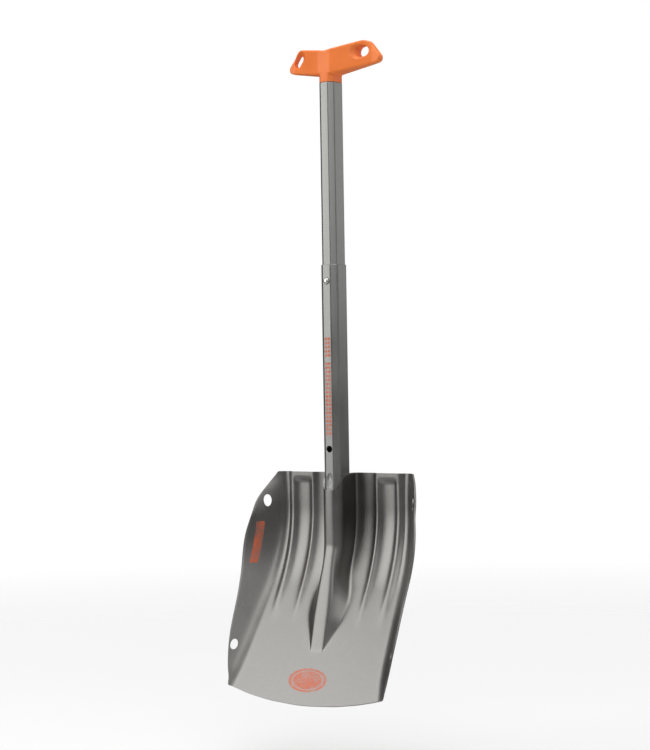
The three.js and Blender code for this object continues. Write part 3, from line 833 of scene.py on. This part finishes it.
def spread_wings(obj):
    """Gives the flat wings their depth: thick at the neck, thinner and further back at the ends."""
    for vertex in obj.data.vertices:
        half, middle = wing_depth(vertex.co.x * 1000)
        vertex.co.y = middle * MM + vertex.co.y * half / FLAT_HALF_DEPTH


def make_grip():
    """Wings and neck welded into one soft-edged moulding, with its spigot inside the inner tube."""
    outline = [tuple(p) for p in round_corners(WING_CORNERS, WING_RADII, 8)]
    grip = new_object("moulded_grip", prism_y(outline, -FLAT_HALF_DEPTH, FLAT_HALF_DEPTH))
    remesh(grip, 1.2, 0)
    spread_wings(grip)
    unite(grip, new_object("neck", prism_z(shaft_section(INSET), (NECK_Z - 4, 0, 4))))
    subtract(grip, [long_hole(*STRAP_SLOT), long_hole(*HANG_HOLE)])
    remesh(grip, 0.75, 9)
    below = [(-60, NECK_Z - 30), (60, NECK_Z - 30), (60, NECK_Z), (-60, NECK_Z)]
    subtract(grip, [new_object("cutter", prism_y(below, -40, 40))])
    spigot = prism_z(shaft_section(INSET + WALL + 0.15), (NECK_Z - 34, NECK_Z - 1, NECK_Z + 3))
    unite(grip, new_object("spigot", spigot))
    shade(grip, 50)
    return grip


def make_rivet():
    """Rivet through the back of the inner tube, with a low domed head."""
    back = SHAFT_D / 2 - INSET + GAP
    profile = [(0.01, 7), (RIVET_R - 0.3, 7), (RIVET_R, 7.4), (RIVET_R, back), (RIVET_HEAD_R - 0.1, back),
               (RIVET_HEAD_R + 0.1, back + 0.2), (RIVET_HEAD_R, back + 0.6)]
    for degrees in (20, 40, 60, 75):
        angle = math.radians(degrees)
        profile.append((RIVET_HEAD_R * math.cos(angle), back + 0.6 + math.sin(angle)))
    profile.append((0.01, back + 1.6))
    return new_object("grip_rivet_head", lathe_y(profile, RIVET_Z, 1), 35)


WELD_STARTS = (6, 36, 66)
WELD_LENGTH = 18
WELD_R = 1.35
WELD_RIPPLE = 0.22
WELD_PITCH = 2.1
WELD_STEPS = 60


def make_weld(side, start, end):
    """One stitch of rippled weld bead in the corner between the rear plate and the blade."""
    edge = plate_high.x * 1000
    rings = []
    for i in range(WELD_STEPS + 1):
        s = mix(start, end, i / WELD_STEPS)
        ripple = WELD_R + WELD_RIPPLE * math.cos(2 * math.pi * (s - start) / WELD_PITCH)
        radius = ripple * math.sqrt(max(0.0, 1 - (2 * i / WELD_STEPS - 1) ** 8)) + 0.02
        centre = blade_point(s, (edge + 0.2) * side, -(SHEET + 0.25))
        ring = []
        for k in range(14):
            angle = 2 * math.pi * k / 14
            ring.append(centre + Vector((radius * math.cos(angle), radius * math.sin(angle), 0)))
        rings.append(ring)
    return new_object(f"weld_{'right' if side > 0 else 'left'}_{int(start)}", loft(rings), 60)


# --- Assembly ------------------------------------------------------------------------------------

dress(make_blade(), "blade", "blade", "blade")
dress(make_plate(), "blade", "blade", "rear_socket_plate")
dress(make_tube("outer_tube_drawn", 0, outer_low.z * 1000, outer_high.z * 1000,
                [(UPPER_Z, -1, BUTTON_HOLE_R), (COLLAPSED_Z, -1, BUTTON_HOLE_R), (LOWER_Z, 1, BUTTON_HOLE_R)],
                [(BLADE_TOP - 9, 5.4, 9.5, 0.5), (BLADE_TOP - 4.5, 3.6, 5.5, 1.0)]),
      "tube", "lower_shaft", "outer_tube")
dress(make_tube("inner_tube_drawn", INSET, inner_low.z * 1000, inner_high.z * 1000,
                [(UPPER_Z, -1, BUTTON_HOLE_R), (RIVET_Z, 1, RIVET_R + GAP)]),
      "tube", "handle", "inner_tube")
dress(make_button("upper_button_turned", upper_high.y * -1000, SHAFT_D / 2, UPPER_Z, -1),
      "steel", "upper_button", "upper_snap_button")
dress(make_button("lower_button_turned", lower_low.y * 1000, SHAFT_D / 2 + GAP + SHEET, LOWER_Z, 1),
      "steel", "lower_button", "lower_snap_button")

dress(make_grip(), "grip", "handle", "grip")
dress(make_rivet(), "steel", "handle", "grip_rivet")
for side in (-1, 1):
    for start in WELD_STARTS:
        dress(make_weld(side, start, start + WELD_LENGTH), "weld", "blade", None)

for name, node, side, fixed, pressed in (
        ("upper_spring_strip", "upper_leaf_spring", -1, "handle", "upper_button"),
        ("lower_spring_strip", "lower_leaf_spring", 1, "lower_shaft", "lower_button")):
    spring, near_y, far_y = make_spring(name, node, side)
    spring.data.materials.append(MATERIALS["steel"])
    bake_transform(spring)
    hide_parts(node)

for node in ("inner_tube_plug", "outer_tube_plug"):
    obj = frame["nodes"][node]
    obj.data.materials.clear()
    obj.data.materials.append(MATERIALS["plug"])


# --- Stage, light and camera ---------------------------------------------------------------------

FLOOR_Z = blade_low.z - TRAVELS["blade_removal"] - 0.003
FLOOR_HALF = 4.5
FLOOR_FADE = (0.5, 2.6)
SURROUNDINGS = (1.0, 1.0, 1.0, 1)
STUDIO_DARK = (0.08, 0.08, 0.08, 1)
STUDIO_LIGHT = (0.74, 0.74, 0.74, 1)
STUDIO_UP = (0.05, -0.15, 0.98)


def make_stage():
    """Round pale floor, just below the blade slid off the hanging shovel; its rim fades out."""
    bm = bmesh.new()
    bmesh.ops.create_grid(bm, x_segments=2, y_segments=2, size=FLOOR_HALF,
                          matrix=Matrix.Translation((0, 0, FLOOR_Z)))
    floor = new_object("floor", bm)
    n = Nodes("floor_paint")
    x, y, _ = n.axes()
    radius = n.math("SQRT", n.math("ADD", n.math("MULTIPLY", x, x), n.math("MULTIPLY", y, y)))
    n.link(n.colour(n.noise(3, 2), (0.83, 0.83, 0.83), (0.85, 0.85, 0.85)), n.shader.inputs["Base Color"])
    n.link(n.spread(radius, *FLOOR_FADE, 0.6, 0), n.shader.inputs["Alpha"])
    n.shader.inputs["Roughness"].default_value = 0.9
    floor.data.materials.append(n.material)


def add_light(name, place, target, size, power):
    data = bpy.data.lights.new(name, "AREA")
    data.shape = "RECTANGLE"
    data.size, data.size_y = size
    data.energy = power
    light = bpy.data.objects.new(name, data)
    light.location = place
    light.visible_camera = False
    light.rotation_euler = (Vector(target) - Vector(place)).to_track_quat("-Z", "Y").to_euler()
    bpy.context.scene.collection.objects.link(light)


CAMERA_AZIMUTH = 36
CAMERA_DISTANCE = 2.4187
CAMERA_TO_LEFT = 0.01338
CAMERA_Z = -0.394
CAMERA_ROLL = -0.944
CAMERA_LENS = 105.230769


def make_camera():
    azimuth = math.radians(CAMERA_AZIMUTH)
    right = Vector((math.cos(azimuth), math.sin(azimuth), 0))
    back = Vector((math.sin(azimuth), -math.cos(azimuth), 0))
    data = bpy.data.cameras.new("camera")
    data.sensor_fit = "HORIZONTAL"
    data.sensor_width = 36
    data.lens = CAMERA_LENS
    data.clip_end = 60
    camera = bpy.data.objects.new("camera", data)
    spot = back * CAMERA_DISTANCE - right * CAMERA_TO_LEFT + Vector((0, 0, CAMERA_Z))
    up = Vector((0, 0, 1))
    axes = Matrix((right, up, back)).transposed()
    roll = Matrix.Rotation(math.radians(CAMERA_ROLL), 3, "Z")
    camera.matrix_world = Matrix.Translation(spot) @ (axes @ roll).to_4x4()
    bpy.context.scene.collection.objects.link(camera)
    bpy.context.scene.camera = camera


def make_world():
    """Pale surroundings for the eye, and a dimmer studio with a dark side for the reflections."""
    world = bpy.data.worlds.new("studio")
    world.use_nodes = True
    tree = world.node_tree
    new = tree.nodes.new
    background = tree.nodes["Background"]
    seen = new("ShaderNodeLightPath").outputs["Is Camera Ray"]
    place = new("ShaderNodeTexCoord").outputs["Generated"]
    dot = new("ShaderNodeVectorMath")
    dot.operation = "DOT_PRODUCT"
    dot.inputs[1].default_value = STUDIO_UP
    tree.links.new(place, dot.inputs[0])
    side = new("ShaderNodeMapRange")
    side.interpolation_type = "SMOOTHSTEP"
    for socket, value in (("From Min", 0.0), ("From Max", 0.95), ("To Min", 0.0), ("To Max", 1.0)):
        side.inputs[socket].default_value = value
    tree.links.new(dot.outputs["Value"], side.inputs["Value"])
    studio = new("ShaderNodeMix")
    studio.data_type = "RGBA"
    studio.inputs[6].default_value = STUDIO_DARK
    studio.inputs[7].default_value = STUDIO_LIGHT
    tree.links.new(side.outputs[0], studio.inputs[0])
    both = new("ShaderNodeMix")
    both.data_type = "RGBA"
    both.inputs[7].default_value = SURROUNDINGS
    tree.links.new(seen, both.inputs[0])
    tree.links.new(studio.outputs[2], both.inputs[6])
    tree.links.new(both.outputs[2], background.inputs["Color"])
    bpy.context.scene.world = world


make_stage()
make_world()
middle = (0, 0, -0.4)
add_light("key", (-1.5, -1.7, 0.225), (0, 0, -0.3), (1.5, 1.95), 21.3)
add_light("top", (0.0, -0.1, 2.2), middle, (2.0, 2.0), 36)
add_light("front", (0.32, -1.22, 1.28), middle, (0.9, 0.8), 5.5)
add_light("right", (0.84, -0.86, 0.27), (0, 0, 0.27), (0.8, 1.05), 3.0)
add_light("back", (0.885, 1.215, 0.2), (0, 0, 0.2), (0.8, 1.1), 2.8)
add_light("side", (1.9, 0.2, 0.0), (0, 0, -0.1), (0.9, 0.9), 1.65)
add_light("floor_card", (0.45, 0.62, FLOOR_Z + 0.002), (0.45, 0.62, 1), (1.0, 1.1), 3.6)
bpy.context.scene.view_settings.view_transform = "Standard"
make_camera()
